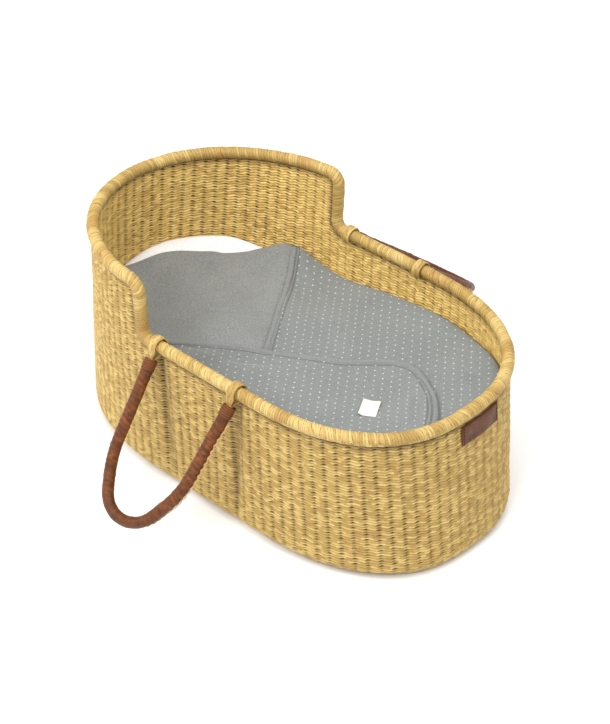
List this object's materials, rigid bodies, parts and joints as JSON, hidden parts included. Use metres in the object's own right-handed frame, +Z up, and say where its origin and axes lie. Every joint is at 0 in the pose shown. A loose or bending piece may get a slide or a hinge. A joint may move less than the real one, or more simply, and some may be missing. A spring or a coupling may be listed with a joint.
{
  "type": "moses basket",
  "caption": "Woven grass baby basket with a raised head end, a wrapped rim, leather-covered swinging handles, a thick mattress and a folded dotted quilt.",
  "frame": {"origin": "centre of the base's underside, on the floor", "axes": "+X towards the foot end, +Y towards the back handle, +Z up; the handles hang on the -Y and +Y sides"},
  "size_m": [0.8654, 0.9, 0.4182],
  "materials": {
    "grass_weave": "twined dry grass, satin",
    "grass_rim": "flat grass strips wound tightly, satin",
    "cane": "bundled cane, matt",
    "brown_leather": "waxed goat leather, semi-gloss",
    "dark_thread": "waxed thread",
    "pale_thread": "flat pale lacing",
    "wadding": "cotton cover over wadding",
    "foam": "foam in a cotton cover",
    "white_cotton": "plain cotton, matt",
    "grey_melange": "grey melange jersey, matt",
    "dotted_jersey": "grey-blue jersey with small pale dots, matt",
    "grey_binding": "rib binding, matt",
    "label_cotton": "blank cotton tape"
  },
  "bodies": {
    "basket": {"base_weave": "grass_weave", "wall_weave": "grass_weave", "rim_core": "cane", "rim_wrap": "grass_rim", "leather_tab": "brown_leather", "tab_stitches": "dark_thread", "base_pad": "wadding", "mattress_foam": "foam", "fitted_sheet": "white_cotton", "quilt_under_panel": "grey_melange", "quilt_far_flap": "dotted_jersey", "quilt_near_flap": "dotted_jersey", "far_flap_piping": "grey_binding", "near_flap_binding": "grey_binding", "care_label": "label_cotton"},
    "front_handle": {"front_handle_core": "cane", "front_handle_leather": "brown_leather", "front_handle_lacing": "pale_thread", "front_head_end_wrap": "brown_leather", "front_head_loop": "grass_rim", "front_foot_end_wrap": "brown_leather", "front_foot_loop": "grass_rim"},
    "back_handle": {"back_handle_core": "cane", "back_handle_leather": "brown_leather", "back_handle_lacing": "pale_thread", "back_head_end_wrap": "brown_leather", "back_head_loop": "grass_rim", "back_foot_end_wrap": "brown_leather", "back_foot_loop": "grass_rim"}
  },
  "joints": [
    {"name": "front_handle_swing", "type": "hinge", "parent": "basket", "child": "front_handle", "pos_m": [0.0168, -0.241, 0.297], "axis": [-1, 0, 0], "range_deg": [-3, 196]},
    {"name": "back_handle_swing", "type": "hinge", "parent": "basket", "child": "back_handle", "pos_m": [0.006, 0.241, 0.297], "axis": [1, 0, 0], "range_deg": [-18, 180]}
  ]
}
